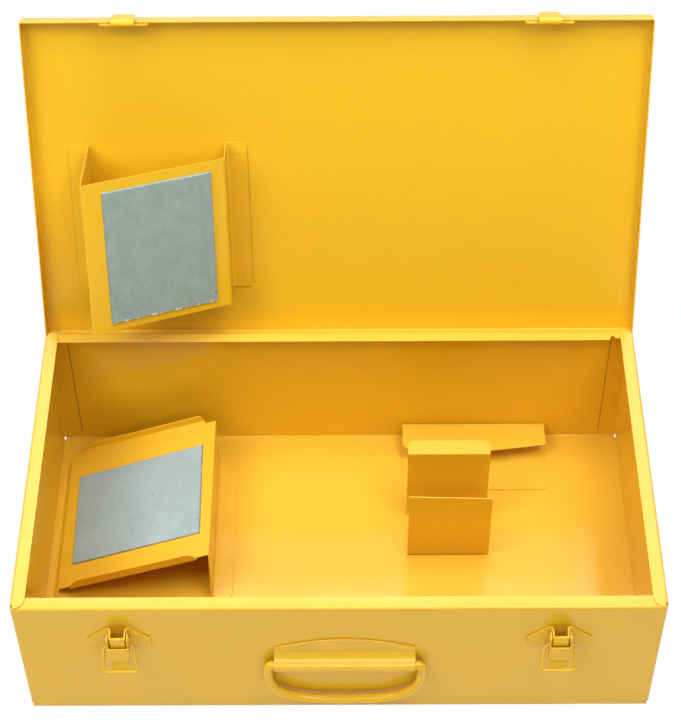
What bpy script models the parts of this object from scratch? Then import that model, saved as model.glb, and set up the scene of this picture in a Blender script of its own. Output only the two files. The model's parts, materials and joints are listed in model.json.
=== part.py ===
# Jointed sheet-steel tool case with an open lid. Metres, +X right, +Y rear, +Z up, origin under the floor.
import math
import bmesh
import bpy
from mathutils import Matrix, Vector

for item in list(bpy.data.objects):
    bpy.data.objects.remove(item, do_unlink=True)

# Sheet and seams
SHEET = 0.0010
BEND = 0.0022
SEAM = 0.0003
RELIEF = 0.0027

# Case
CASE_WIDTH = 0.530
CASE_DEPTH = 0.296
CASE_HEIGHT = 0.152
FRONT_RIM = 0.0115
REAR_RIM = 0.0110
SIDE_RIM = 0.0118
END_FLANGE = 0.018
RIM_NOTCH = 0.0195
RIM_NOTCH_DEPTH = 0.0046

# Lid and hinges
LID_SIDE_OVERHANG = 0.0022
LID_FRONT_OVERHANG = 0.0030
LID_REAR_OVERHANG = 0.0023
LID_SKIRT = 0.014
LID_OPEN_DEG = 110.6
HINGE_SHEET = 0.0011
HINGE_PIN_RADIUS = 0.0016
HINGE_PLAY = 0.0001
HINGE_LENGTH = 0.056
HINGE_KNUCKLE = 0.0186
HINGE_LEAF = 0.024
HINGE_INSET = 0.110

# Lid bracket, closed position, from the left end, the rear wall and the lid
LID_BRACKET_START = 0.030
LID_BRACKET_FLANGE = 0.018
LID_BRACKET_SPAN = 0.1181
LID_BRACKET_LEAN = 0.0035
LID_BRACKET_DEEP = 0.0915
LID_BRACKET_SHALLOW = 0.0364
LID_BRACKET_DEPTH = 0.140
LID_BRACKET_REAR = 0.0438
LID_BRACKET_SKEW_DEG = -0.83
LID_PAD_LENGTH = 0.0981
LID_PAD_WIDTH = 0.1233
LID_PAD_START = 0.0182
LID_PAD_REAR = 0.0075
PAD_THICKNESS = 0.0025

# Rest bracket, from the left end, the rear wall and the floor
REST_START = 0.0040
REST_LEFT_FLANGE = 0.0084
REST_LEFT_LEAN = 0.0042
REST_LEFT_SETBACK = 0.0120
REST_LEFT_REACH = 0.0140
REST_LOW = 0.0072
REST_HIGH = 0.0602
REST_SPAN = 0.1381
REST_FLANGE = 0.0175
REST_DEPTH = 0.1558
REST_REAR = 0.0272
REST_FOOT_REACH = 0.0060
REST_LIP_START = 0.0125
REST_LIP_END = 0.0120
REST_REAR_LIP = 0.0080
REST_FRONT_LIP = 0.0105
REST_PAD_START = 0.0115
REST_PAD_LENGTH = 0.1255
REST_PAD_REAR = 0.03035
REST_PAD_WIDTH = 0.0986
REST_PAD_SKEW_DEG = 1.1

# Tool cradle and rear clip, from the right end, the rear wall and the floor
CRADLE_INSET = 0.1667
CRADLE_WIDTH = 0.0737
CRADLE_GAP = 0.0435
CRADLE_REAR = 0.0960
CRADLE_REAR_HEIGHT = 0.0935
CRADLE_FRONT_LEFT = 0.0890
CRADLE_FRONT_RIGHT = 0.0857
CRADLE_LIP = 0.0154
CLIP_INSET = 0.1382
CLIP_WIDTH = 0.1347
CLIP_BASE = 0.0645
CLIP_HEIGHT = 0.0187
CLIP_FLANGE = 0.0260
CLIP_BULGE = 0.0085

# Handle, from the front wall and the floor
HANDLE_X = 0.0045
HANDLE_HALF = 0.0585
HANDLE_SHEET = 0.0012
HANDLE_AXIS_HEIGHT = 0.0755
HANDLE_CROWN = 0.0310
HANDLE_ENDS = 0.0185
HANDLE_SWEEP = 0.0110
BAIL_RADIUS = 0.0040
BAIL_PLAY = 0.0003
BAIL_SHOULDER = 0.0054
BAIL_DROP = 0.054

# Latches, from the front wall and the lid's lip
LATCH_INSET = 0.085
LATCH_DROP = 0.0148
LATCH_HEIGHT = 0.0242
LATCH_WING_HALF = 0.026
LATCH_WING_TOP = 0.0095
LATCH_WING_FALL = 0.0145
HAT_HALF = 0.0068
HAT_DEPTH = 0.0117
LATCH_SHEET = 0.0014
LATCH_BEND = 0.0017
LEVER_SHEET = 0.0011
LEVER_BEND = 0.0013
LEVER_HALF = 0.00865
LEVER_PLATE_HALF = 0.0071
LEVER_STANDOFF = 0.0150
LEVER_TOP_DROP = 0.0060
LEVER_EAR_DROP = 0.0165
LEVER_PLATE_DROP = 0.0234
LEVER_LIP_DROP = 0.0346
LEVER_LIP_KICK = 0.0018
LEVER_LIP_FLARE = 0.0006
EAR_RADIUS = 0.0049
LATCH_PIN_OUT = 0.0082
LATCH_PIN_DROP = 0.0055
LATCH_PIN_RADIUS = 0.0015
LATCH_PLAY = 0.0001
LOOP_ARM = 0.0110
LOOP_WIRE_RADIUS = 0.0011
LOOP_TOP_HALF = 0.0120
LOOP_BAR_HALF = 0.0140
LOOP_CORNER = 0.0030
LOOP_REST_DEG = 20.0
KEEPER_INSET = 0.0860
KEEPER_HALF = 0.0205
KEEPER_TONGUE_HALF = 0.0097
KEEPER_PLATE = 0.0150
KEEPER_BELOW_LIP = 0.0083
KEEPER_TAB = 0.0166
KEEPER_MOUTH = 0.0030

# Planes that follow from the sizes
LEFT = -CASE_WIDTH / 2
RIGHT = CASE_WIDTH / 2
FRONT = -CASE_DEPTH / 2
REAR = CASE_DEPTH / 2
FLOOR_TOP = SHEET
SEATED = FLOOR_TOP + SEAM + SHEET
SHELL_RIM = CASE_HEIGHT - SHEET - SEAM
LID_INNER = CASE_HEIGHT + SEAM
LID_TOP = LID_INNER + SHEET
LID_LIP = LID_TOP - LID_SKIRT
KNUCKLE_RADIUS = HINGE_PIN_RADIUS + HINGE_PLAY + HINGE_SHEET
HINGE_Y = REAR + SEAM + KNUCKLE_RADIUS
HINGE_Z = LID_LIP - SEAM - KNUCKLE_RADIUS
HINGE_AXIS = Vector((0.0, HINGE_Y, HINGE_Z))

YELLOW = (0.86, 0.47, 0.022)
GREY = (0.36, 0.41, 0.39)


# Objects and materials
def finish(name, bm, colour=YELLOW, roughness=0.28, metallic=0.0):
    mesh = bpy.data.meshes.new(name)
    bm.to_mesh(mesh)
    bm.free()
    mesh.shade_smooth()
    mesh.set_sharp_from_angle(angle=math.radians(32))
    obj = bpy.data.objects.new(name, mesh)
    bpy.context.scene.collection.objects.link(obj)
    material = bpy.data.materials.new(name + "_finish")
    material.use_nodes = True
    shader = material.node_tree.nodes["Principled BSDF"]
    shader.inputs["Base Color"].default_value = (*colour, 1.0)
    shader.inputs["Roughness"].default_value = roughness
    shader.inputs["Metallic"].default_value = metallic
    material.diffuse_color = (*colour, 1.0)
    mesh.materials.append(material)
    return obj


def pivot(name, spot, turn=0.0, parent=None):
    empty = bpy.data.objects.new(name, None)
    empty.location = spot
    empty.rotation_euler = (turn, 0.0, 0.0)
    bpy.context.scene.collection.objects.link(empty)
    if parent is not None:
        hang(parent, empty)
    return empty


def hang(parent, *children):
    for child in children:
        child.parent = parent
        child.matrix_parent_inverse = Matrix.Translation(-Vector(parent.location))


# Placing of profile coordinates: along X, along Y
def along_x(u, v, w):
    return Vector((w, u, v))


def along_y(u, v, w):
    return Vector((u, w, v))


# A closed outline with some corners rounded
def rounded(points, radii, steps=4):
    outline = []
    for index, point in enumerate(points):
        spot = Vector(point)
        radius = radii.get(index, 0.0)
        if radius <= 0.0:
            outline.append(spot)
            continue
        before = (Vector(points[index - 1]) - spot).normalized()
        after = (Vector(points[(index + 1) % len(points)]) - spot).normalized()
        half = before.angle(after) / 2
        centre = spot + (before + after).normalized() * (radius / math.sin(half))
        start = spot + before * (radius / math.tan(half)) - centre
        end = spot + after * (radius / math.tan(half)) - centre
        axis = start.cross(end).normalized()
        for step in range(steps + 1):
            turn = Matrix.Rotation(start.angle(end) * step / steps, 3, axis)
            outline.append(centre + turn @ start)
    return outline


# Panels of a strip that follows a path of profile points
def strip(path, place, low, high, start=0.0, end=0.0):
    panels = []
    last = len(path) - 2
    for index in range(len(path) - 1):
        near, far = path[index], path[index + 1]
        corners = [place(*near, low), place(*near, high), place(*far, high), place(*far, low)]
        radii = {}
        if index == 0 and start > 0.0:
            radii.update({0: start, 1: start})
        if index == last and end > 0.0:
            radii.update({2: end, 3: end})
        panels.append(rounded(corners, radii))
    return panels


def arc(centre, radius, start_deg, end_deg, steps):
    turns = [math.radians(start_deg + (end_deg - start_deg) * k / steps) for k in range(steps + 1)]
    return [(centre[0] + radius * math.cos(t), centre[1] + radius * math.sin(t)) for t in turns]


# Sheet metal: flat panels that share fold lines, bent there and given thickness behind the visible face
def folded(name, panels, facing, thickness=SHEET, bend=BEND, **look):
    bm = bmesh.new()
    known = {}

    def vertex(point):
        key = tuple(round(value * 1e7) for value in point)
        if key not in known:
            known[key] = bm.verts.new(point)
        return known[key]

    for panel in panels:
        bm.faces.new([vertex(point) for point in panel])
    bmesh.ops.recalc_face_normals(bm, faces=bm.faces[:])
    bm.faces.ensure_lookup_table()
    if bm.faces[0].normal.dot(Vector(facing)) < 0.0:
        bmesh.ops.reverse_faces(bm, faces=bm.faces[:])
    folds = [edge for edge in bm.edges if len(edge.link_faces) == 2 and edge.calc_face_angle() > 0.6]
    if folds:
        bmesh.ops.bevel(bm, geom=folds, offset=bend, offset_type="OFFSET", segments=3, profile=0.5,
                        affect="EDGES", material=-1, clamp_overlap=False)
    obj = finish(name, bm, **look)
    solid = obj.modifiers.new("gauge", "SOLIDIFY")
    solid.thickness = thickness
    solid.offset = -1.0
    solid.use_even_offset = True
    return obj


# A flat slab on an outline
def slab(name, outline, rise, **look):
    bm = bmesh.new()
    face = bm.faces.new([bm.verts.new(point) for point in outline])
    grown = bmesh.ops.extrude_face_region(bm, geom=[face])
    moved = [item for item in grown["geom"] if isinstance(item, bmesh.types.BMVert)]
    bmesh.ops.translate(bm, vec=rise, verts=moved)
    bmesh.ops.recalc_face_normals(bm, faces=bm.faces[:])
    return finish(name, bm, **look)


# Round wire on a path that lies in a plane across Y
def wire(name, path, radius, sides, closed):
    bm = bmesh.new()
    count = len(path)
    rings = []
    for index, spot in enumerate(path):
        before = path[index - 1] if closed or index > 0 else path[index]
        after = path[(index + 1) % count] if closed or index < count - 1 else path[index]
        ahead = (Vector(after) - Vector(before)).normalized()
        side = Vector((0.0, 1.0, 0.0)).cross(ahead)
        ring = []
        for step in range(sides):
            turn = math.tau * step / sides
            offset = side * math.cos(turn) + Vector((0.0, 1.0, 0.0)) * math.sin(turn)
            ring.append(bm.verts.new(Vector(spot) + offset * radius))
        rings.append(ring)
    for index in range(count if closed else count - 1):
        here, there = rings[index], rings[(index + 1) % count]
        for step in range(sides):
            other = (step + 1) % sides
            bm.faces.new([here[step], here[other], there[other], there[step]])
    if not closed:
        bm.faces.new(rings[0])
        bm.faces.new(rings[-1])
    bmesh.ops.recalc_face_normals(bm, faces=bm.faces[:])
    return finish(name, bm)


# A turned pin along X from (x, radius) pairs
def turned(name, profile, centre, sides=20, **look):
    bm = bmesh.new()
    rings = []
    for along, radius in profile:
        ring = []
        for step in range(sides):
            turn = math.tau * step / sides
            spot = Vector((along, radius * math.cos(turn), radius * math.sin(turn)))
            ring.append(bm.verts.new(Vector(centre) + spot))
        rings.append(ring)
    for here, there in zip(rings, rings[1:]):
        for step in range(sides):
            other = (step + 1) % sides
            bm.faces.new([here[step], here[other], there[other], there[step]])
    bm.faces.new(rings[0])
    bm.faces.new(rings[-1])
    bmesh.ops.recalc_face_normals(bm, faces=bm.faces[:])
    return finish(name, bm, **look)


# A round hole along X through an object
def drill(obj, name, centre, radius, half):
    cutter = turned(name, [(-half, radius), (half, radius)], centre)
    cutter.hide_render = True
    cutter.display_type = "WIRE"
    hole = obj.modifiers.new(name, "BOOLEAN")
    hole.operation = "DIFFERENCE"
    hole.solver = "EXACT"
    hole.object = cutter
    return cutter


# Body shell: front wall, floor and rear wall in one sheet, the floor reaching under the end walls
shell_half = CASE_WIDTH / 2 - SHEET - 3 * SEAM
end_lap = REAR - SHEET - SEAM
end_fold = end_lap - RELIEF
shell_path = [(FRONT + FRONT_RIM, SHELL_RIM), (FRONT, SHELL_RIM), (FRONT, 0.0),
              (REAR, 0.0), (REAR, SHELL_RIM), (REAR - REAR_RIM, SHELL_RIM)]
shell_panels = strip(shell_path, along_x, -shell_half, shell_half)
shell_panels[2] = [along_x(y, 0.0, x) for x, y in [
    (-shell_half, FRONT), (shell_half, FRONT), (shell_half, -end_fold), (RIGHT, -end_fold), (RIGHT, end_fold),
    (shell_half, end_fold), (shell_half, REAR), (-shell_half, REAR), (-shell_half, end_fold), (LEFT, end_fold),
    (LEFT, -end_fold), (-shell_half, -end_fold)]]
notch = shell_half - RIM_NOTCH
rim_edge = REAR - REAR_RIM
shell_panels[4] = [along_x(y, SHELL_RIM, x) for x, y in [
    (-shell_half, REAR), (shell_half, REAR), (shell_half, rim_edge + 0.45 * RIM_NOTCH_DEPTH),
    (notch + 0.0052, rim_edge + 0.45 * RIM_NOTCH_DEPTH), (notch + 0.0046, rim_edge + RIM_NOTCH_DEPTH),
    (notch + 0.0014, rim_edge + 0.9 * RIM_NOTCH_DEPTH), (notch, rim_edge), (-shell_half, rim_edge)]]
folded("body_shell", shell_panels, (0, 0, 1))


# End panels: wall down to the floor, rim flange on top, flanges lapped inside both walls
def end_panel(name, side):
    wall = side * CASE_WIDTH / 2
    edge = end_lap
    fold = end_fold
    top = CASE_HEIGHT
    bottom = FLOOR_TOP + SEAM
    flange_top = SHELL_RIM - BEND - SEAM
    flange_low = FLOOR_TOP + 0.0024
    ends = REAR - 0.0003

    def at(inward, along, height):
        return (wall - side * inward, along, height)

    wall_panel = [at(0, y, z) for y, z in [
        (-fold, top), (fold, top), (fold, flange_top), (edge, flange_top), (edge, flange_low),
        (fold, flange_low), (fold, bottom), (-fold, bottom), (-fold, flange_low), (-edge, flange_low),
        (-edge, flange_top), (-fold, flange_top)]]
    rim = rounded([at(0, -fold, top), at(0, fold, top), at(RELIEF, fold, top), at(RELIEF, ends, top),
                   at(SIDE_RIM, ends, top), at(SIDE_RIM, -ends, top), at(RELIEF, -ends, top),
                   at(RELIEF, -fold, top)], {3: 0.003, 4: 0.004, 5: SIDE_RIM - RELIEF - 0.0002}, 6)
    panels = [wall_panel, rim]
    for y in (-edge, edge):
        panels.append([at(0, y, flange_low), at(0, y, flange_top), at(END_FLANGE, y, flange_top),
                       at(END_FLANGE, y, flange_low + 0.006), at(0.005, y, flange_low)])
    return folded(name, panels, (side, 0, 0))


end_panel("left_end_panel", -1)
end_panel("right_end_panel", 1)

# Lid pan, modelled closed and turned open about the hinge line
lid_pivot = pivot("lid_pivot", HINGE_AXIS, -math.radians(LID_OPEN_DEG))
lid_half = CASE_WIDTH / 2 + LID_SIDE_OVERHANG
lid_front = FRONT - LID_FRONT_OVERHANG
lid_rear = REAR + LID_REAR_OVERHANG
lid_corners = [(-lid_half, lid_front), (lid_half, lid_front), (lid_half, lid_rear), (-lid_half, lid_rear)]
lid_panels = [[(x, y, LID_TOP) for x, y in lid_corners]]
for index in range(4):
    near, far = lid_corners[index], lid_corners[(index + 1) % 4]
    lid_panels.append([(*near, LID_TOP), (*far, LID_TOP), (*far, LID_LIP), (*near, LID_LIP)])
hang(lid_pivot, folded("lid_pan", lid_panels, (0, 0, 1)))

# Lid bracket and its pad
bracket_face = LID_INNER - SEAM - SHEET
bracket_web = LEFT + LID_BRACKET_START + LID_BRACKET_FLANGE
bracket_low = Vector((bracket_web + LID_BRACKET_LEAN, LID_INNER - LID_BRACKET_DEEP))
bracket_high = Vector((bracket_low.x + LID_BRACKET_SPAN, LID_INNER - LID_BRACKET_SHALLOW))
bracket_rear = REAR - LID_BRACKET_REAR
bracket_front = bracket_rear - LID_BRACKET_DEPTH
bracket_path = [(LEFT + LID_BRACKET_START, bracket_face), (bracket_web, bracket_face), tuple(bracket_low),
                tuple(bracket_high), (bracket_high.x - 0.0008, bracket_face),
                (bracket_high.x - 0.0008 + LID_BRACKET_FLANGE, bracket_face)]
bracket_panels = strip(bracket_path, along_y, bracket_front, bracket_rear, 0.005, 0.005)
bracket_pivot = pivot("lid_bracket_pivot", (bracket_low.x + LID_BRACKET_SPAN / 2, (bracket_front + bracket_rear) / 2,
                                            bracket_face), parent=lid_pivot)
bracket_pivot.rotation_euler.z = math.radians(LID_BRACKET_SKEW_DEG)
hang(bracket_pivot, folded("lid_bracket", bracket_panels, (0, 0, -1)))


# A pad on a sloping plate: start and length up the slope, front and rear edge, side of the plate, turn on it
def pad(name, foot, head, start, length, front, rear, side, skew_deg=0.0):
    slope = (Vector(head) - Vector(foot)).normalized()
    normal = Vector((-slope.y, slope.x)) * side
    centre = Vector(foot) + slope * (start + length / 2) + normal * SEAM
    turn = Matrix.Rotation(math.radians(skew_deg), 2)
    outline = []
    for along, across in ((-1, -1), (1, -1), (1, 1), (-1, 1)):
        u, v = turn @ Vector((along * length / 2, across * (rear - front) / 2))
        outline.append(along_y(*(centre + slope * u), (front + rear) / 2 + v))
    rise = along_y(normal.x * PAD_THICKNESS, normal.y * PAD_THICKNESS, 0.0)
    return slab(name, rounded(outline, {k: 0.0012 for k in range(4)}, 2), rise,
                colour=GREY, roughness=0.9)


pad_rear = bracket_rear - LID_PAD_REAR
hang(bracket_pivot, pad("lid_pad", bracket_low, bracket_high, LID_PAD_START, LID_PAD_LENGTH,
                        pad_rear - LID_PAD_WIDTH, pad_rear, -1))

# Rest bracket with folded lips, and its pad
rest_left = LEFT + REST_START
rest_low = Vector((rest_left + REST_LEFT_FLANGE, FLOOR_TOP + REST_LOW))
rest_high = Vector((rest_low.x + REST_SPAN, FLOOR_TOP + REST_HIGH))
rest_slope = (rest_high - rest_low).normalized()
rest_normal = Vector((-rest_slope.y, rest_slope.x))
rest_length = (rest_high - rest_low).length
rest_rear = REAR - REST_REAR
rest_front = rest_rear - REST_DEPTH
web_rear = rest_rear - RELIEF
web_front = rest_front + RELIEF
foot_front = web_front - REST_FOOT_REACH
left_foot = rest_low.x - REST_LEFT_LEAN
left_rear = web_rear - REST_LEFT_SETBACK
left_front = web_front - REST_LEFT_REACH


def on_rest(along, y, rise=0.0):
    spot = rest_low + rest_slope * along + rest_normal * rise
    return along_y(spot.x, spot.y, y)


lip_start = REST_LIP_START
lip_end = rest_length - REST_LIP_END
rest_plate = [on_rest(*spot) for spot in [
    (0.0, web_front), (lip_start - 0.004, web_front), (lip_start, web_front), (lip_start, rest_front),
    (lip_end, rest_front), (lip_end, web_front), (rest_length, web_front), (rest_length, web_rear),
    (lip_end, web_rear), (lip_end, rest_rear), (lip_start, rest_rear), (lip_start, web_rear), (0.0, web_rear)]]
rest_panels = [rest_plate]
for y, height in ((rest_rear, REST_REAR_LIP), (rest_front, REST_FRONT_LIP)):
    lip = [on_rest(lip_start, y), on_rest(lip_end, y), on_rest(lip_end, y, height),
           on_rest(lip_start + 0.010, y, height), on_rest(lip_start, y, RELIEF)]
    rest_panels.append(rounded(lip, {2: height * 0.6}))
rest_panels.append([along_y(*rest_low, web_front), along_y(*rest_low, web_rear),
                    along_y(left_foot, SEATED, left_rear), along_y(left_foot, SEATED, left_front)])
rest_panels += strip([(rest_left, SEATED), (left_foot, SEATED)], along_y, left_front, left_rear, 0.0025, 0.0)
rest_panels.append([along_y(*rest_high, web_front), along_y(*rest_high, web_rear),
                    along_y(rest_high.x, SEATED, web_rear), along_y(rest_high.x, SEATED, foot_front)])
right_path = [(rest_high.x, SEATED), (rest_high.x + REST_FLANGE, SEATED)]
rest_panels += strip(right_path, along_y, foot_front, web_rear, 0.0, 0.003)
folded("rest_bracket", rest_panels, (0, 0, 1), bend=0.0020)
rest_pad_rear = rest_rear - REST_PAD_REAR
pad("rest_pad", rest_low, rest_high, REST_PAD_START, REST_PAD_LENGTH,
    rest_pad_rear - REST_PAD_WIDTH, rest_pad_rear, 1, REST_PAD_SKEW_DEG)

# Tool cradle: one U strip with a lip folded to the rear
cradle_rear = REAR - CRADLE_REAR
cradle_front = cradle_rear - CRADLE_GAP
cradle_low = RIGHT - CRADLE_INSET - CRADLE_WIDTH / 2
cradle_high = cradle_low + CRADLE_WIDTH
cradle_top = FLOOR_TOP + CRADLE_REAR_HEIGHT
cradle_panels = [[(cradle_low, cradle_front, FLOOR_TOP + CRADLE_FRONT_LEFT),
                  (cradle_high, cradle_front, FLOOR_TOP + CRADLE_FRONT_RIGHT),
                  (cradle_high, cradle_front, SEATED), (cradle_low, cradle_front, SEATED)]]
cradle_path = [(cradle_front, SEATED), (cradle_rear, SEATED), (cradle_rear, cradle_top),
               (cradle_rear + CRADLE_LIP, cradle_top)]
cradle_panels += strip(cradle_path, along_x, cradle_low, cradle_high, 0.0, 0.005)
folded("tool_cradle", cradle_panels, (0, 1, 0), bend=0.0016)

# Rear clip: base plate, low web at the rear wall and a flange that bulges to the front
clip_web = REAR - SHEET - SEAM - SHEET
clip_low = RIGHT - CLIP_INSET - CLIP_WIDTH / 2
clip_high = clip_low + CLIP_WIDTH
clip_face = FLOOR_TOP + CLIP_HEIGHT
clip_edge = clip_web - CLIP_FLANGE
clip_path = [(clip_web - CLIP_BASE, SEATED), (clip_web, SEATED), (clip_web, clip_face)]
clip_panels = strip(clip_path, along_x, clip_low, clip_high, 0.0045, 0.0)
clip_panels.append([(clip_low, clip_web, clip_face), (clip_high, clip_web, clip_face),
                    (clip_high, clip_edge + 0.001, clip_face), (clip_high - 0.002, clip_edge, clip_face),
                    ((clip_low + clip_high) / 2, clip_edge - CLIP_BULGE, clip_face),
                    (clip_low + 0.0035, clip_edge - CLIP_BULGE * 0.4, clip_face),
                    (clip_low, clip_edge, clip_face)])
folded("rear_clip", clip_panels, (0, 0, 1), bend=0.0016)

# Handle plate with an arched top, swept out over the bail and rolled round it into a sleeve
sleeve_radius = BAIL_RADIUS + BAIL_PLAY + HANDLE_SHEET
handle_y = FRONT - SEAM - sleeve_radius
handle_axis = Vector((HANDLE_X, handle_y, HANDLE_AXIS_HEIGHT))
handle_face = FRONT - SEAM - HANDLE_SHEET
stand_off = handle_face - handle_y
sweep_rise = math.sqrt((HANDLE_SWEEP + sleeve_radius) ** 2 - (HANDLE_SWEEP - stand_off) ** 2)
sweep_deg = math.degrees(math.atan2(sweep_rise, HANDLE_SWEEP - stand_off))
sleeve = arc((HANDLE_SWEEP, sweep_rise), HANDLE_SWEEP, 180.0, 180.0 + sweep_deg, 6)
sleeve += arc((stand_off, 0.0), sleeve_radius, sweep_deg, -195.0, 17)[1:]
slices = 14
handle_panels = []
for index in range(slices):
    spans = []
    for k in (index, index + 1):
        across = -1.0 + 2.0 * k / slices
        crown = HANDLE_ENDS + (HANDLE_CROWN - HANDLE_ENDS) * (1.0 - across * across)
        x = HANDLE_X + HANDLE_HALF * across
        spans.append([(x, handle_face - out, HANDLE_AXIS_HEIGHT + rise) for out, rise in [(0.0, crown)] + sleeve])
    for k in range(len(spans[0]) - 1):
        handle_panels.append([spans[0][k], spans[1][k], spans[1][k + 1], spans[0][k + 1]])
folded("handle_plate", handle_panels, (0, -1, 0), thickness=HANDLE_SHEET)

# Carrying bail through the sleeve
bail_half = HANDLE_HALF + BAIL_SHOULDER + 0.0002
bail_profile = [(bail_half - BAIL_SHOULDER, 0.0)]
bail_profile += [(bail_half - BAIL_SHOULDER + BAIL_SHOULDER * math.sin(t), BAIL_SHOULDER * (math.cos(t) - 1.0))
                 for t in [math.pi / 2 * k / 5 for k in range(1, 6)]]
bail_profile += [(bail_half * math.cos(t) ** (2 / 3), -BAIL_SHOULDER - (BAIL_DROP - BAIL_SHOULDER)
                  * math.sin(t) ** (2 / 3)) for t in [0.045, 0.14, 0.29, 0.47, 0.66, 0.86, 1.06, 1.24, 1.40]]
bail_path = [handle_axis + Vector((x, 0.0, z)) for x, z in bail_profile]
bail_path.append(handle_axis + Vector((0.0, 0.0, -BAIL_DROP)))
bail_path += [handle_axis + Vector((-x, 0.0, z)) for x, z in reversed(bail_profile)]
handle_pivot = pivot("handle_pivot", handle_axis)
hang(handle_pivot, wire("handle_bail", bail_path, BAIL_RADIUS, 16, True))


# Toggle latch on the front wall and its keeper on the lid
def latch(label, side):
    centre = side * (CASE_WIDTH / 2 - LATCH_INSET)
    top = LID_LIP - LATCH_DROP
    bottom = top - LATCH_HEIGHT
    wing = SEAM + LATCH_SHEET
    hat = SEAM + HAT_DEPTH

    def at(x, out, z):
        return Vector((centre + x, FRONT - out, z))

    pin_spot = at(0.0, LATCH_PIN_OUT, top - LATCH_PIN_DROP)
    loop_spot = pin_spot - Vector((0.0, 0.0, LOOP_ARM))
    pin_hole = LATCH_PIN_RADIUS + LATCH_PLAY
    loop_hole = LOOP_WIRE_RADIUS + LATCH_PLAY

    base_panels = []
    for hand in (-1, 1):
        base_panels.append([at(hand * x, wing, z) for x, z in [
            (HAT_HALF, bottom), (HAT_HALF, top), (LATCH_WING_TOP, top),
            (LATCH_WING_HALF, top - LATCH_WING_FALL), (LATCH_WING_HALF, bottom)]])
        base_panels.append([at(hand * HAT_HALF, out, z) for out, z in [
            (wing, bottom), (wing, top), (hat, top), (hat, bottom)]])
    base_panels.append([at(-HAT_HALF, hat, bottom), at(HAT_HALF, hat, bottom),
                        at(HAT_HALF, hat, top), at(-HAT_HALF, hat, top)])
    base = folded(label + "_latch_base", base_panels, (0, -1, 0), thickness=LATCH_SHEET, bend=LATCH_BEND)
    drill(base, label + "_base_hole", pin_spot, pin_hole, LEVER_HALF * 1.3)

    head = LEVER_HALF + 0.0003
    turned(label + "_latch_pin", [(-head - 0.0010, 0.0017), (-head - 0.0006, 0.0024), (-head, 0.0024),
                                  (-head, LATCH_PIN_RADIUS), (head, LATCH_PIN_RADIUS), (head, 0.0024),
                                  (head + 0.0006, 0.0024), (head + 0.0010, 0.0017)], pin_spot)

    lever_face = LEVER_STANDOFF - 0.0005
    lever_top = pin_spot.z - LEVER_TOP_DROP
    ear_low = pin_spot.z - LEVER_EAR_DROP
    plate_low = pin_spot.z - LEVER_PLATE_DROP
    ear_end = plate_low + 2 * LEVER_BEND
    lip_low = pin_spot.z - LEVER_LIP_DROP
    step = lever_face - LEVER_LIP_KICK
    flare = lever_face + LEVER_LIP_FLARE
    turn_z = plate_low - 0.0040
    lever_panels = [
        [at(x, lever_face, z) for x, z in [
            (-LEVER_HALF, lever_top), (LEVER_HALF, lever_top), (LEVER_HALF, ear_end),
            (LEVER_PLATE_HALF, ear_end), (LEVER_PLATE_HALF, plate_low), (-LEVER_PLATE_HALF, plate_low),
            (-LEVER_PLATE_HALF, ear_end), (-LEVER_HALF, ear_end)]],
        [at(LEVER_PLATE_HALF, lever_face, plate_low), at(-LEVER_PLATE_HALF, lever_face, plate_low),
         at(-LEVER_PLATE_HALF, step, turn_z), at(LEVER_PLATE_HALF, step, turn_z)],
        rounded([at(LEVER_PLATE_HALF, step, turn_z), at(-LEVER_PLATE_HALF, step, turn_z),
                 at(-LEVER_PLATE_HALF, flare, lip_low), at(LEVER_PLATE_HALF, flare, lip_low)],
                {2: 0.002, 3: 0.002})]
    pin_z = pin_spot.z
    loop_z = loop_spot.z
    ear = [(lever_face, ear_end), (lever_face, lever_top), (lever_face - 0.0022, lever_top)]
    ear += arc((LATCH_PIN_OUT, pin_z), EAR_RADIUS, 0.0, 180.0, 10)
    ear += [(LATCH_PIN_OUT - EAR_RADIUS + 0.0008, loop_z), (LATCH_PIN_OUT - 0.0012, ear_low),
            (lever_face - 0.0034, ear_end)]
    for hand in (-1, 1):
        lever_panels.append([at(hand * LEVER_HALF, out, z) for out, z in ear])
    lever = folded(label + "_latch_lever", lever_panels, (0, -1, 0), thickness=LEVER_SHEET, bend=LEVER_BEND)
    lever_cuts = [drill(lever, label + "_lever_hole", pin_spot, pin_hole, LEVER_HALF * 1.3),
                  drill(lever, label + "_loop_hole", loop_spot, loop_hole, LEVER_HALF * 1.3)]
    lever_pivot = pivot(label + "_lever_pivot", pin_spot)
    hang(lever_pivot, lever, *lever_cuts)

    keeper_shift = side * (LATCH_INSET - KEEPER_INSET)
    plate_in = LID_FRONT_OVERHANG - SHEET - SEAM - SHEET
    tab_out = LID_FRONT_OVERHANG + KEEPER_MOUTH + SHEET
    hook_radius = (tab_out - plate_in) / 2
    hook_z = LID_LIP - KEEPER_BELOW_LIP + hook_radius
    tongue = arc((plate_in + hook_radius, hook_z), hook_radius, 180.0, 360.0, 10)
    tab_top = LID_LIP - KEEPER_BELOW_LIP + KEEPER_TAB
    wing_low = hook_z + 0.0012
    wing_top = wing_low + KEEPER_PLATE
    plate = [(-KEEPER_TONGUE_HALF, hook_z), (-KEEPER_TONGUE_HALF, wing_low), (-KEEPER_HALF, wing_low),
             (-KEEPER_HALF, wing_top), (KEEPER_HALF, wing_top), (KEEPER_HALF, wing_low),
             (KEEPER_TONGUE_HALF, wing_low), (KEEPER_TONGUE_HALF, hook_z)]
    keeper_panels = [rounded([at(x + keeper_shift, plate_in, z) for x, z in plate],
                             {2: 0.002, 3: 0.003, 4: 0.003, 5: 0.002})]
    keeper_panels += strip(tongue + [(tab_out, tab_top)], lambda u, v, w: at(w + keeper_shift, u, v),
                           -KEEPER_TONGUE_HALF, KEEPER_TONGUE_HALF, 0.0, 0.0045)
    keeper = folded(label + "_keeper", keeper_panels, (0, 1, 0))
    hang(lid_pivot, keeper)

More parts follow.
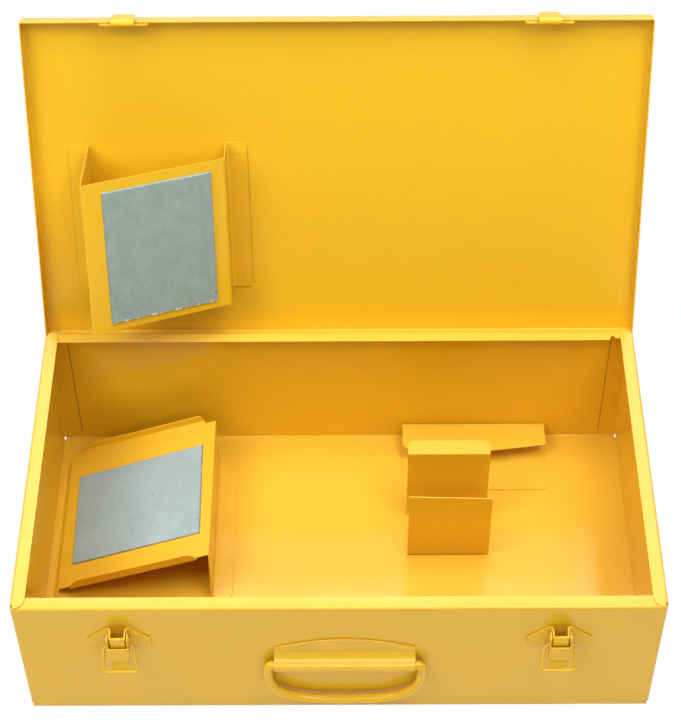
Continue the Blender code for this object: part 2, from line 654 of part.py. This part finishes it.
    seat = at(0.0, (LID_FRONT_OVERHANG + tab_out - SHEET) / 2, hook_z - hook_radius + SHEET
              + LOOP_WIRE_RADIUS + SEAM)
    reach = math.hypot(seat.y - loop_spot.y, seat.z - loop_spot.z)
    end = LEVER_HALF - LEVER_SHEET - 0.0003
    loop_profile = rounded([(end, 0, 0), (LOOP_TOP_HALF, 0, 0), (LOOP_BAR_HALF, 0, -reach),
                            (-LOOP_BAR_HALF, 0, -reach), (-LOOP_TOP_HALF, 0, 0), (-end, 0, 0)],
                           {1: 0.0018, 2: LOOP_CORNER, 3: LOOP_CORNER, 4: 0.0018}, 5)
    loop = wire(label + "_latch_loop", [loop_spot + spot for spot in loop_profile], LOOP_WIRE_RADIUS, 12, False)
    hang(pivot(label + "_loop_pivot", loop_spot, -math.radians(LOOP_REST_DEG), lever_pivot), loop)


latch("left", -1)
latch("right", 1)


# Butt hinge on the rear wall
def hinge(label, side):
    centre = side * (CASE_WIDTH / 2 - HINGE_INSET)
    half = HINGE_LENGTH / 2
    middle = HINGE_KNUCKLE / 2
    gap = middle + SEAM
    back = HINGE_Y - KNUCKLE_RADIUS
    notch = HINGE_Z - KNUCKLE_RADIUS - 0.0012
    leaf_low = notch - HINGE_LEAF

    def at(x, y, z):
        return Vector((centre + x, y, z))

    plate = rounded([at(-half, back, leaf_low), at(half, back, leaf_low), at(half, back, HINGE_Z),
                     at(gap, back, HINGE_Z), at(gap, back, notch), at(-gap, back, notch),
                     at(-gap, back, HINGE_Z), at(-half, back, HINGE_Z)], {0: 0.003, 1: 0.003})
    roll = arc((HINGE_Y, HINGE_Z), KNUCKLE_RADIUS, 180.0, -100.0, 16)
    panels = [plate]
    for low, high in ((-half, -gap), (gap, half)):
        panels += strip(roll, lambda u, v, w: at(w, u, v), low, high)
    folded(label + "_hinge_body_leaf", panels, (0, -1, 0), thickness=HINGE_SHEET)

    outer = REAR + LID_REAR_OVERHANG + SEAM + HINGE_SHEET
    leaf_top = LID_TOP - BEND
    leaf_foot = LID_LIP + 0.0006
    plate = rounded([at(-half, outer, leaf_top), at(-half, outer, leaf_foot), at(-middle, outer, leaf_foot),
                     at(-middle, outer, leaf_foot - 0.0002), at(middle, outer, leaf_foot - 0.0002),
                     at(middle, outer, leaf_foot), at(half, outer, leaf_foot), at(half, outer, leaf_top)],
                    {0: 0.002, 7: 0.002})
    roll = arc((HINGE_Y, HINGE_Z), KNUCKLE_RADIUS, 28.0, -240.0, 15)
    panels = [plate] + strip([(outer, leaf_foot - 0.0002)] + roll, lambda u, v, w: at(w, u, v), -middle, middle)
    leaf = folded(label + "_hinge_lid_leaf", panels, (0, 1, 0), thickness=HINGE_SHEET, bend=0.0004)
    hang(lid_pivot, leaf)

    tip = half + 0.0008
    turned(label + "_hinge_pin", [(-tip, HINGE_PIN_RADIUS * 0.7), (-half, HINGE_PIN_RADIUS),
                                  (half, HINGE_PIN_RADIUS), (tip, HINGE_PIN_RADIUS * 0.7)],
           (centre, HINGE_Y, HINGE_Z))


hinge("left", -1)
hinge("right", 1)
bpy.context.view_layer.update()
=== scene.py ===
import json
import math

import bmesh
import bpy
from mathutils import Matrix, Vector, noise


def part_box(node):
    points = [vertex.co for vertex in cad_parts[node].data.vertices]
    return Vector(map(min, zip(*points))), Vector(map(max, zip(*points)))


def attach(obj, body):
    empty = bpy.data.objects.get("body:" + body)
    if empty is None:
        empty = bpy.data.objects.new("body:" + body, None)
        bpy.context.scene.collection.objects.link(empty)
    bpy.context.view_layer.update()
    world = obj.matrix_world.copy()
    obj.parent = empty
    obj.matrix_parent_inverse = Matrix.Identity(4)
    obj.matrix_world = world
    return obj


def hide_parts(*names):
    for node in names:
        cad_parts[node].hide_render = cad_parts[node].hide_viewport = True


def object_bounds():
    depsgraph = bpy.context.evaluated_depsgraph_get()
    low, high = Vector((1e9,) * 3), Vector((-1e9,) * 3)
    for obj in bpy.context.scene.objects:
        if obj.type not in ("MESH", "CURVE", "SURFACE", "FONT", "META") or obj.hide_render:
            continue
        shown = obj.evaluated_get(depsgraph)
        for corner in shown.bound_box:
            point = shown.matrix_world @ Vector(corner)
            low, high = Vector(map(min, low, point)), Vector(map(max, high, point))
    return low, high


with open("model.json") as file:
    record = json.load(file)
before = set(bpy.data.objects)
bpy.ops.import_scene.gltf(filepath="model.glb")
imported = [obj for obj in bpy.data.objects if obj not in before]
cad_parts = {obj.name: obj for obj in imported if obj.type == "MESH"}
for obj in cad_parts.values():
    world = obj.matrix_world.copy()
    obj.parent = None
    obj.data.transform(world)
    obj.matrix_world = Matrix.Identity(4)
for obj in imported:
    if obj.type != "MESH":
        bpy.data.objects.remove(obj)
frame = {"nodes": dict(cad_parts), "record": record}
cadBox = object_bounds()
nodes = frame["nodes"]
bodies = frame["record"]["behaviour"]["bodies"]
bodyOf = {node: body for body, members in bodies.items() for node in members}
scene = bpy.context.scene
scene.view_settings.view_transform = "Standard"
print("case: frame loaded,", len(nodes), "nodes")

# camera, fitted to the corners of the case
view = {
    "place": (0.01039, -1.01219, 1.46647),
    "elevation": 48.508,
    "azimuth": -0.437,
    "roll": -0.593,
    "lens": 97.10,
    "shiftY": -0.0431,
}
el, az, roll = (math.radians(view[key]) for key in ("elevation", "azimuth", "roll"))
ahead = Vector((math.sin(az) * math.cos(el), math.cos(az) * math.cos(el), -math.sin(el)))
level = ahead.cross(Vector((0, 0, 1))).normalized()
upright = level.cross(ahead)
right = level * math.cos(roll) + upright * math.sin(roll)
up = upright * math.cos(roll) - level * math.sin(roll)
camera = bpy.data.objects.new("camera", bpy.data.cameras.new("camera"))
camera.data.lens = view["lens"]
camera.data.shift_y = view["shiftY"]
camera.matrix_world = Matrix.Translation(view["place"]) @ Matrix((right, up, -ahead)).transposed().to_4x4()
scene.collection.objects.link(camera)
scene.camera = camera


# one shader socket, with the sums and the nodes that come up often
class Link:
    def __init__(self, tree, socket=None):
        self.tree = tree
        self.socket = socket

    def node(self, kind, settings=None, inputs=None, out=0):
        made = self.tree.nodes.new(kind)
        for key, value in (settings or {}).items():
            setattr(made, key, value)
        for key, value in (inputs or {}).items():
            if isinstance(value, Link):
                self.tree.links.new(value.socket, made.inputs[key])
            else:
                made.inputs[key].default_value = value
        return Link(self.tree, made.outputs[out]) if made.outputs else made

    def sibling(self, name):
        return Link(self.tree, self.socket.node.outputs[name])

    def calculate(self, operation, *values):
        return self.node("ShaderNodeMath", {"operation": operation}, dict(enumerate(values)))

    def mix(self, share, first, second):
        return self.node("ShaderNodeMix", {"data_type": "RGBA"}, {0: share, 6: first, 7: second}, 2)

    def texture(self, spot, scale, **more):
        return self.node("ShaderNodeTexNoise", None, {"Vector": spot, "Scale": scale, **more})

    def attribute(self, name):
        return self.node("ShaderNodeAttribute", {"attribute_name": name}, None, 2)

    def distance(self, spot, centre):
        return self.node("ShaderNodeVectorMath", {"operation": "DISTANCE"}, {0: spot, 1: centre}, 1)

    def bump(self, height):
        return self.node("ShaderNodeBump", None, {"Strength": 1.0, "Distance": 1.0, "Height": height})

    def __add__(self, other):
        return self.calculate("ADD", self, other)

    def __rsub__(self, other):
        return self.calculate("SUBTRACT", other, self)

    def __mul__(self, other):
        return self.calculate("MULTIPLY", self, other)

    __radd__ = __add__


def newMaterial(name):
    material = bpy.data.materials.new(name)
    material.use_nodes = True
    material.node_tree.nodes.clear()
    return material, Link(material.node_tree)


def finishMaterial(start, shader):
    start.node("ShaderNodeOutputMaterial", None, {"Surface": shader})


# rays from the camera, and those that a surface mirrors or lets through
def raysOf(start):
    seen = start.node("ShaderNodeLightPath")
    return seen, seen.sibling("Is Glossy Ray") + seen.sibling("Is Transmission Ray")


# floor, backdrop and light
studio = {
    "floorSize": 5.2,
    "floorBack": 0.9,
    "floorDrop": 0.0001,
    "backdropHeight": 1.7,
    "floorColour": (0.86, 0.86, 0.86, 1),
    "white": (1.0, 1.0, 1.0, 1),
    "glow": 1.0,
    "dim": 0.08,
    "dimUntil": -0.7,
    "whiteFrom": -0.3,
    "lamps": [
        # name, place, target, size, watts, lights surfaces, shows in reflections
        ("overhead", (0.12, 0.30, 2.20), (0.05, 0.05, 0.1), (1.3, 0.8), 24.3, True, True),
        ("keyLeft", (-1.05, -0.50, 1.78), (0.0, 0.05, 0.1), (1.0, 1.0), 24.5, True, True),
        ("keyRight", (0.72, -0.45, 1.90), (0.0, 0.05, 0.1), (0.8, 0.8), 16, True, True),
        ("front", (0.05, -2.0, 1.80), (0.0, 0.0, 0.15), (2.4, 0.5), 16.5, True, True),
        ("backSky", (0.0, 1.9, 2.2), (0.0, 0.0, 0.1), (3.0, 1.4), 14, True, True),
        ("backCard", (0.0, 1.88, 2.18), (0.0, 0.0, 0.1), (2.5, 1.3), 42, False, True),
        ("frontCard", (0.05, -2.05, 1.84), (0.0, 0.0, 0.15), (2.4, 0.5), 24, False, True),
    ],
}
bm = bmesh.new()
bmesh.ops.create_grid(bm, x_segments=1, y_segments=1, size=studio["floorSize"] / 2)
bmesh.ops.translate(bm, vec=(0, studio["floorBack"], cadBox[0][2] - studio["floorDrop"]), verts=bm.verts)
farEdge = max(bm.edges, key=lambda edge: edge.verts[0].co.y + edge.verts[1].co.y)
raised = bmesh.ops.extrude_edge_only(bm, edges=[farEdge])
bmesh.ops.translate(bm, vec=(0, 0, studio["backdropHeight"]),
                    verts=[item for item in raised["geom"] if isinstance(item, bmesh.types.BMVert)])
floorMesh = bpy.data.meshes.new("floor")
bm.to_mesh(floorMesh)
bm.free()
floor = bpy.data.objects.new("floor", floorMesh)
scene.collection.objects.link(floor)
floorMaterial, start = newMaterial("paleFloor")
matt = start.node("ShaderNodeBsdfDiffuse", None, {"Color": studio["floorColour"]})
glow = start.node("ShaderNodeEmission", None, {"Color": studio["white"], "Strength": studio["glow"]})
seen, mirrored = raysOf(start)
finishMaterial(start, start.node("ShaderNodeMixShader", None, {0: seen + mirrored, 1: matt, 2: glow}))
floorMesh.materials.append(floorMaterial)

# the world is white for the camera and in reflections, except that the room in front stays dim
world = bpy.data.worlds.new("studio")
scene.world = world
world.use_nodes = True
world.node_tree.nodes.clear()
start = Link(world.node_tree)
dim, white = (start.node("ShaderNodeBackground", None, {"Color": studio["white"], "Strength": studio[key]})
              for key in ("dim", "glow"))
seen, mirrored = raysOf(start)
heading = start.node("ShaderNodeSeparateXYZ", None, {0: start.node("ShaderNodeTexCoord")}, 1)
behind = start.node("ShaderNodeMapRange", None, {0: heading, 1: studio["dimUntil"], 2: studio["whiteFrom"]})
surface = start.node("ShaderNodeMixShader", None, {0: seen + mirrored * behind, 1: dim, 2: white})
start.node("ShaderNodeOutputWorld", None, {"Surface": surface})
for name, place, target, size, watts, lights, mirrors in studio["lamps"]:
    lamp = bpy.data.lights.new(name, "AREA")
    lamp.shape = "RECTANGLE"
    lamp.size, lamp.size_y = size
    lamp.energy = watts
    holder = bpy.data.objects.new(name, lamp)
    holder.location = place
    holder.visible_diffuse = lights
    holder.visible_glossy = mirrors
    holder.rotation_euler = (Vector(target) - Vector(place)).to_track_quat("-Z", "Y").to_euler()
    scene.collection.objects.link(holder)
print("case: camera, floor and lamps placed")

# powder coat: glossy yellow with orange peel, slow waves of thin sheet, weld dimples, painted shade lines
# at laps and flange edges,
# and a painted highlight: a paler tone on the faces that look up, for the light they catch
coat = {
    "colour": (0.77, 0.452, 0.0085, 1),
    "deep": (0.72, 0.407, 0.0065, 1),
    "lapGapShade": (0.36, 0.17, 0.004, 1),
    "filletShade": (0.56, 0.29, 0.006, 1),
    "blotchScale": 9.0,
    "grainScale": 180.0,
    "grainShare": 0.3,
    "roughness": 0.15,
    "roughnessSpread": 0.05,
    "ior": 1.45,
    "gloss": 0.28,
    "haze": 0.4,
    "hardwareHaze": 0.06,
    "hazeRoughness": 0.55,
    "upLitPale": (0.78, 0.465, 0.085, 1),
    "upLitShare": 0.24,
    "upLitLeast": 0.75,
    "upLitPatches": 0.5,
    "peelScale": 620.0,
    "peelHeight": 0.000010,
    "waveScale": 14.0,
    "waveHeight": 0.0009,
    "dimpleRadius": 0.0022,
    "dimpleCore": 0.45,
    "dimpleDepth": 0.00035,
}


def powderCoat(name, wave=1.0, welds=(), shadeLines=(), haze=coat["haze"]):
    material, start = newMaterial(name)
    spot = start.node("ShaderNodeTexCoord", None, None, 3)
    blotch = start.texture(spot, coat["blotchScale"], Detail=3.0)
    grain = start.texture(spot, coat["grainScale"], Detail=2.0)
    patches = blotch * (1 - coat["grainShare"]) + grain * coat["grainShare"]
    tone = start.mix(patches, coat["deep"], coat["colour"])
    # painted highlight: faces that look up get a paler tone, in patches, for the light they catch
    patchy = blotch * coat["upLitPatches"] + coat["upLitLeast"]
    upLitPaling = start.attribute("upward") * patchy * coat["upLitShare"]
    tone = start.mix(upLitPaling, tone, coat["upLitPale"])
    peel = start.texture(spot, coat["peelScale"], Detail=1.0)
    waves = start.texture(spot, coat["waveScale"], Detail=1.0)
    height = peel * coat["peelHeight"] + waves * (coat["waveHeight"] * wave)
    for weld in welds:
        core = coat["dimpleRadius"] * coat["dimpleCore"]
        height = height + start.node("ShaderNodeMapRange", {"interpolation_type": "SMOOTHERSTEP"}, {
            0: start.distance(spot, weld), 1: core, 2: coat["dimpleRadius"],
            3: -coat["dimpleDepth"], 4: 0.0})
    aside = start.node("ShaderNodeSeparateXYZ", None, {0: spot})
    depth, rise = aside.sibling("Y"), aside.sibling("Z")
    # painted shade: darker lines at lap gaps and beside flange edges, only on faces that look forward
    for colour, centre, half, lean in shadeLines:
        inside = start.attribute("forward")
        for axis, middle, reach in zip((aside + rise * lean, depth, rise), centre, half):
            inside = inside * start.calculate("COMPARE", axis, middle, reach)
        tone = start.mix(inside, tone, coat[colour])
    smoothest = coat["roughness"] - coat["roughnessSpread"] / 2
    finishMaterial(start, start.node("ShaderNodeBsdfPrincipled", None, {
        "Base Color": tone, "Roughness": grain * coat["roughnessSpread"] + smoothest,
        "Normal": start.bump(height), "IOR": coat["ior"], "Specular IOR Level": coat["gloss"],
        "Coat Weight": haze, "Coat Roughness": coat["hazeRoughness"]}))
    return material


# where sheets are welded or lapped, in world places
joins = {
    "bracketX": (-0.0872, -0.2260),
    "bracketYZ": ((0.1850, 0.1844), (0.2269, 0.2958)),
    "throughLid": Vector((0, 0.936, -0.352)) * 0.0023,
    "shellX": 0.2555,
    "shellZ": (0.028, 0.074, 0.120),
    "handle": (0.0045, -0.1495, 0.0897),
    # each painted shade line: colour, centre, half size, lean of its x with z
    # painted shade in the gaps where the end panels' flanges lap the rear wall
    "rearLaps": [("lapGapShade", (side * 0.2466, 0.16, 0.079), (0.0004, 0.02, 0.069), 0.0) for side in (-1, 1)],
    # dark lines beside the lid bracket's flange edges on the lid: paint fillet and painted shadow
    "flangeOutlines": [
        ("filletShade", (-0.2317, 0.20, 0.2395), (0.0004, 0.06, 0.0615), 0.0148),
        ("filletShade", (-0.0744, 0.20, 0.2395), (0.0004, 0.06, 0.0615), 0.0148),
        ("filletShade", (-0.2225, 0.18, 0.1744), (0.0075, 0.06, 0.0004), 0.0148),
        ("filletShade", (-0.0845, 0.18, 0.1744), (0.0085, 0.06, 0.0004), 0.0148),
    ],
}
bracketWelds = [Vector((x, y, z)) for y, z in joins["bracketYZ"] for x in joins["bracketX"]]
lidWelds = [weld + joins["throughLid"] for weld in bracketWelds]
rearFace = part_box("body_shell")[1][1]
shellWelds = [(side * joins["shellX"], rearFace, z) for side in (-1, 1) for z in joins["shellZ"]]
sheetCoat = powderCoat("sheetCoat")
hardwareCoat = powderCoat("hardwareCoat", 0.0, haze=coat["hardwareHaze"])
special = {
    "body_shell": powderCoat("shellCoat", 1.0, shellWelds, joins["rearLaps"]),
    "lid_pan": powderCoat("lidCoat", 1.0, lidWelds, joins["flangeOutlines"]),
    "handle_plate": powderCoat("handleCoat", 0.0, [joins["handle"]]),
    "lid_bracket": powderCoat("lidBracketCoat", 1.0, bracketWelds),
}

# steel pieces: the solid's own shape with its cut edges eased by the coat; angles in degrees
easing = {
    "edge": 0.00022,
    "fine": 0.00014,
    "merge": 2e-6,
    "flat": 0.4,
    "sharp": 38.0,
    "smooth": 40.0,
    "forwardFrom": 0.5,
    "upwardFrom": 0.5,
}


def easedPiece(node, material, ease):
    bm = bmesh.new()
    bm.from_mesh(nodes[node].data)
    bmesh.ops.remove_doubles(bm, verts=bm.verts, dist=easing["merge"])
    bmesh.ops.dissolve_limit(bm, angle_limit=math.radians(easing["flat"]), verts=bm.verts, edges=bm.edges)
    sharp = [edge for edge in bm.edges if len(edge.link_faces) == 2
             and edge.calc_face_angle() > math.radians(easing["sharp"])]
    bmesh.ops.bevel(bm, geom=sharp, offset=ease, offset_type="OFFSET", segments=2, profile=0.5,
                    affect="EDGES", material=-1, clamp_overlap=True)
    mesh = bpy.data.meshes.new(node + "Coated")
    bm.to_mesh(mesh)
    bm.free()
    normals = [face.normal for face in mesh.polygons]
    forward = mesh.attributes.new("forward", "FLOAT", "FACE")
    forward.data.foreach_set("value", [float(-normal.y > easing["forwardFrom"]) for normal in normals])
    upward = mesh.attributes.new("upward", "FLOAT", "FACE")
    least = easing["upwardFrom"]
    upward.data.foreach_set("value", [
        max(0.0, min(1.0, (normal.z - least) / (1 - least))) for normal in normals])
    mesh.shade_smooth()
    mesh.set_sharp_from_angle(angle=math.radians(easing["smooth"]))
    mesh.materials.append(material)
    piece = bpy.data.objects.new(node + "Coated", mesh)
    scene.collection.objects.link(piece)
    weigh = piece.modifiers.new("weigh", "WEIGHTED_NORMAL")
    weigh.keep_sharp = True
    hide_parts(node)
    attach(piece, bodyOf[node])


sheetNodes = ["body_shell", "left_end_panel", "right_end_panel", "lid_pan", "lid_bracket", "rest_bracket",
              "tool_cradle", "rear_clip", "handle_plate"]
hardwareNodes = sorted(set(nodes) - set(sheetNodes) - {"lid_pad", "rest_pad"})
for node in sheetNodes:
    easedPiece(node, special.get(node, sheetCoat), easing["edge"])
for node in hardwareNodes:
    easedPiece(node, hardwareCoat, easing["fine"])
print("case: coated", len(sheetNodes) + len(hardwareNodes), "steel pieces")

# felt pads: pressed fibre, a little lumpy, with cut edges that fray
felt = {
    # each edge: how far it pales (or darkens with painted shadow, below zero), how far it frays
    "lid_pad": {
        "facing": (0, -1, 0.4),
        "light": (0.265, 0.347, 0.314, 1),
        "dark": (0.187, 0.252, 0.226, 1),
        "pale": (0.70, 0.71, 0.66, 1),
        "shade": (0.10, 0.075, 0.04, 1),
        "rimFrom": 0.5,
        "tufts": 0.9,
        "mark": (0.0475, -0.0530),
        "markSize": 0.0009,
        "cloudScale": 75.0,
        "cloudShare": 0.45,
        "edges": {"left": (-0.45, 0.0004), "right": (-0.2, 0.0005),
                  "bottom": (0.3, 0.0014), "top": (0.3, 0.0003)},
    },
    "rest_pad": {
        "facing": (0, 0, 1),
        "light": (0.332, 0.432, 0.455, 1),
        "dark": (0.237, 0.315, 0.325, 1),
        "pale": (0.50, 0.52, 0.50, 1),
        # the rest pad's darkened edges: a dark glue line and painted shadow
        "shade": (0.10, 0.075, 0.05, 1),
        "rimFrom": -1.0,
        "tufts": 0.0,
        "mark": (0.0146, 0.0061),
        "markSize": 0.0006,
        "cloudScale": 34.0,
        "cloudShare": 0.5,
        "edges": {"left": (0.0, 0.0002), "right": (-0.6, 0.0003),
                  "bottom": (-0.9, 0.0003), "top": (-0.2, 0.0002)},
    },
}
feltLook = {
    "cloud": {"Detail": 5.0, "Roughness": 0.62},
    "speck": {"Detail": 3.0, "Roughness": 0.7},
    "fibre": {"Detail": 2.0, "Distortion": 1.2},
    "speckScale": 620.0,
    "fibreScale": 1500.0,
    "fibreHeight": 0.00012,
    "darkest": 0.34,
    "lightest": 0.66,
    "mark": (0.03, 0.03, 0.03, 1),
    "roughness": 0.78,
    "roughnessSpread": 0.2,
    "sheen": {"Sheen Weight": 0.25, "Sheen Roughness": 0.6},
}
feltShape = {
    "step": 0.0011,
    "press": 0.7,
    "sink": 0.00028,
    "ease": 0.0004,
    "merge": 2e-6,
    "flat": 1.0,
    "shortSide": 0.02,
    "lump": 0.00016,
    "lumpScale": 160,
    "droop": 0.0002,
    "droopReach": 0.0015,
    "fringe": 1.5,
    "raggedScale": 420,
    "fineScale": 1100,
    "fineShare": 0.5,
    "wander": 0.35,
    "threadFrom": 0.2,
    "rimLeast": 0.7,
    "rimGain": 0.9,
    "tuftScale": 430,
    "tuftGain": 5,
    "tuftFrom": 0.7,
    "tuftLength": 0.0009,
    "tuftOut": 0.9,
    "tuftUp": Vector((0, 0, 0.2)),
    # slices through the noise, one for each use
    "lumpSlice": 3.1,
    "raggedSlice": 7.7,
    "fineSlice": 1.3,
    "tuftSlice": 4.6,
}
ways = {
    "left": Vector((-1, 0, 0)),
    "right": Vector((1, 0, 0)),
    "bottom": Vector((0, -1, 0)),
    "top": Vector((0, 1, 0)),
}


def feltMaterial(node, mark):
    look = felt[node]
    material, start = newMaterial(node.replace("_pad", "Felt"))
    spot = start.node("ShaderNodeTexCoord", None, None, 3)
    cloud = start.texture(spot, look["cloudScale"], **feltLook["cloud"])
    speck = start.texture(spot, feltLook["speckScale"], **feltLook["speck"])
    fibre = start.texture(spot, feltLook["fibreScale"], **feltLook["fibre"])
    mixed = start.node("ShaderNodeMapRange", None, {
        0: cloud * look["cloudShare"] + speck * (1 - look["cloudShare"]),
        1: feltLook["darkest"], 2: feltLook["lightest"]})
    tone = start.mix(mixed, look["dark"], look["light"])
    edge = start.attribute("rim")
    tone = start.mix(edge, tone, look["pale"])
    # painted shadow along edges whose rim value is below zero
    tone = start.mix(0.0 - edge, tone, look["shade"])
    nick = start.calculate("LESS_THAN", start.distance(spot, mark), look["markSize"])
    tone = start.mix(nick, tone, feltLook["mark"])
    finishMaterial(start, start.node("ShaderNodeBsdfPrincipled", None, {
        "Base Color": tone, "Roughness": feltLook["roughness"] + speck * feltLook["roughnessSpread"],
        "Normal": start.bump((fibre + speck) * feltLook["fibreHeight"]), **feltLook["sheen"]}))
    return material


# the pad's length, width and thickness, and the place of its under face, from the solid
def padFrame(node):
    bm = bmesh.new()
    bm.from_mesh(nodes[node].data)
    bmesh.ops.remove_doubles(bm, verts=bm.verts, dist=feltShape["merge"])
    flat = math.radians(feltShape["flat"])
    bmesh.ops.dissolve_limit(bm, angle_limit=flat, verts=bm.verts, edges=bm.edges)
    broad = sorted(bm.faces, key=lambda face: -face.calc_area())[:2]
    top = max(broad, key=lambda face: face.normal.dot(Vector(felt[node]["facing"])))
    out = top.normal.copy()
    sides = [edge.verts[1].co - edge.verts[0].co for edge in top.edges
             if edge.calc_length() > feltShape["shortSide"]]
    along = max(sides, key=lambda run: abs(run.normalized().x)).normalized()
    if along.x < 0:
        along = -along
    across = out.cross(along)
    centre = sum((vert.co for vert in bm.verts), Vector()) / len(bm.verts)
    reach = [max(abs((vert.co - centre).dot(axis)) for vert in bm.verts) for axis in (along, across, out)]
    bm.free()
    long, wide, thick = (2 * value for value in reach)
    place = Matrix((along, across, out)).transposed().to_4x4()
    place.translation = centre - out * (thick / 2 + feltShape["sink"])
    return long, wide, thick, place


# lumps on top, a drooping brow, ragged rims and loose tufts along the bottom edge
def wearPad(bm, look, long, wide, thick):
    rim = bm.verts.layers.float.new("rim")
    shape = feltShape
    for vert in bm.verts:
        x, y, z = vert.co
        room = {"left": long / 2 + x, "right": long / 2 - x, "bottom": wide / 2 + y, "top": wide / 2 - y}
        edge = min(room, key=room.get)
        show, fray = look["edges"][edge]
        if z > thick / 2:
            lump = noise.noise(Vector((x, y, shape["lumpSlice"])) * shape["lumpScale"])
            vert.co.z += shape["lump"] * lump - shape["droop"] * math.exp(-room[edge] / shape["droopReach"])
        if room[edge] < shape["ease"] * shape["fringe"]:
            broad = noise.noise(Vector((x, y, shape["raggedSlice"])) * shape["raggedScale"])
            fine = noise.noise(Vector((x, y, shape["fineSlice"])) * shape["fineScale"])
            ragged = broad + shape["fineShare"] * fine
            threads = max(0, ragged - shape["threadFrom"])
            vert.co += ways[edge] * (fray * (shape["wander"] * ragged + threads))
            if z > thick * look["rimFrom"]:
                vert[rim] = show * max(0.0, min(1.0, shape["rimLeast"] + shape["rimGain"] * ragged))
        if edge == "bottom" and room[edge] < shape["step"] * shape["fringe"] and z > thick / 2:
            wisp = noise.noise(Vector((x * shape["tuftScale"], shape["tuftSlice"], 0)))
            tuft = max(0.0, min(1.0, shape["tuftGain"] * wisp - shape["tuftFrom"])) * look["tufts"]
            vert.co += (ways[edge] * shape["tuftOut"] + shape["tuftUp"]) * (tuft * shape["tuftLength"])
            vert[rim] = max(vert[rim], tuft)


def feltPad(node):
    look = felt[node]
    long, wide, thick, place = padFrame(node)
    thick = thick * feltShape["press"] + feltShape["sink"]
    columns, rows = (int(size / feltShape["step"]) for size in (long, wide))
    bm = bmesh.new()
    bmesh.ops.create_grid(bm, x_segments=columns, y_segments=rows, size=0.5)
    bmesh.ops.scale(bm, vec=(long, wide, 1), verts=bm.verts)
    grown = bmesh.ops.extrude_face_region(bm, geom=bm.faces[:])
    upper = [item for item in grown["geom"] if isinstance(item, bmesh.types.BMVert)]
    bmesh.ops.translate(bm, vec=(0, 0, thick), verts=upper)
    bmesh.ops.recalc_face_normals(bm, faces=bm.faces)
    brow = [edge for edge in bm.edges if edge.calc_face_angle(0) > 1
            and min(vert.co.z for vert in edge.verts) > thick / 2]
    bmesh.ops.bevel(bm, geom=brow, offset=feltShape["ease"], offset_type="OFFSET", segments=2, profile=0.5,
                    affect="EDGES", material=-1)
    wearPad(bm, look, long, wide, thick)
    bmesh.ops.transform(bm, matrix=place, verts=bm.verts)
    mesh = bpy.data.meshes.new(node + "Felt")
    bm.to_mesh(mesh)
    bm.free()
    mesh.shade_smooth()
    mesh.materials.append(feltMaterial(node, place @ Vector((*look["mark"], thick))))
    piece = bpy.data.objects.new(node + "Felt", mesh)
    scene.collection.objects.link(piece)
    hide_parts(node)
    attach(piece, bodyOf[node])


for node in felt:
    feltPad(node)
print("case: felt pads laid")
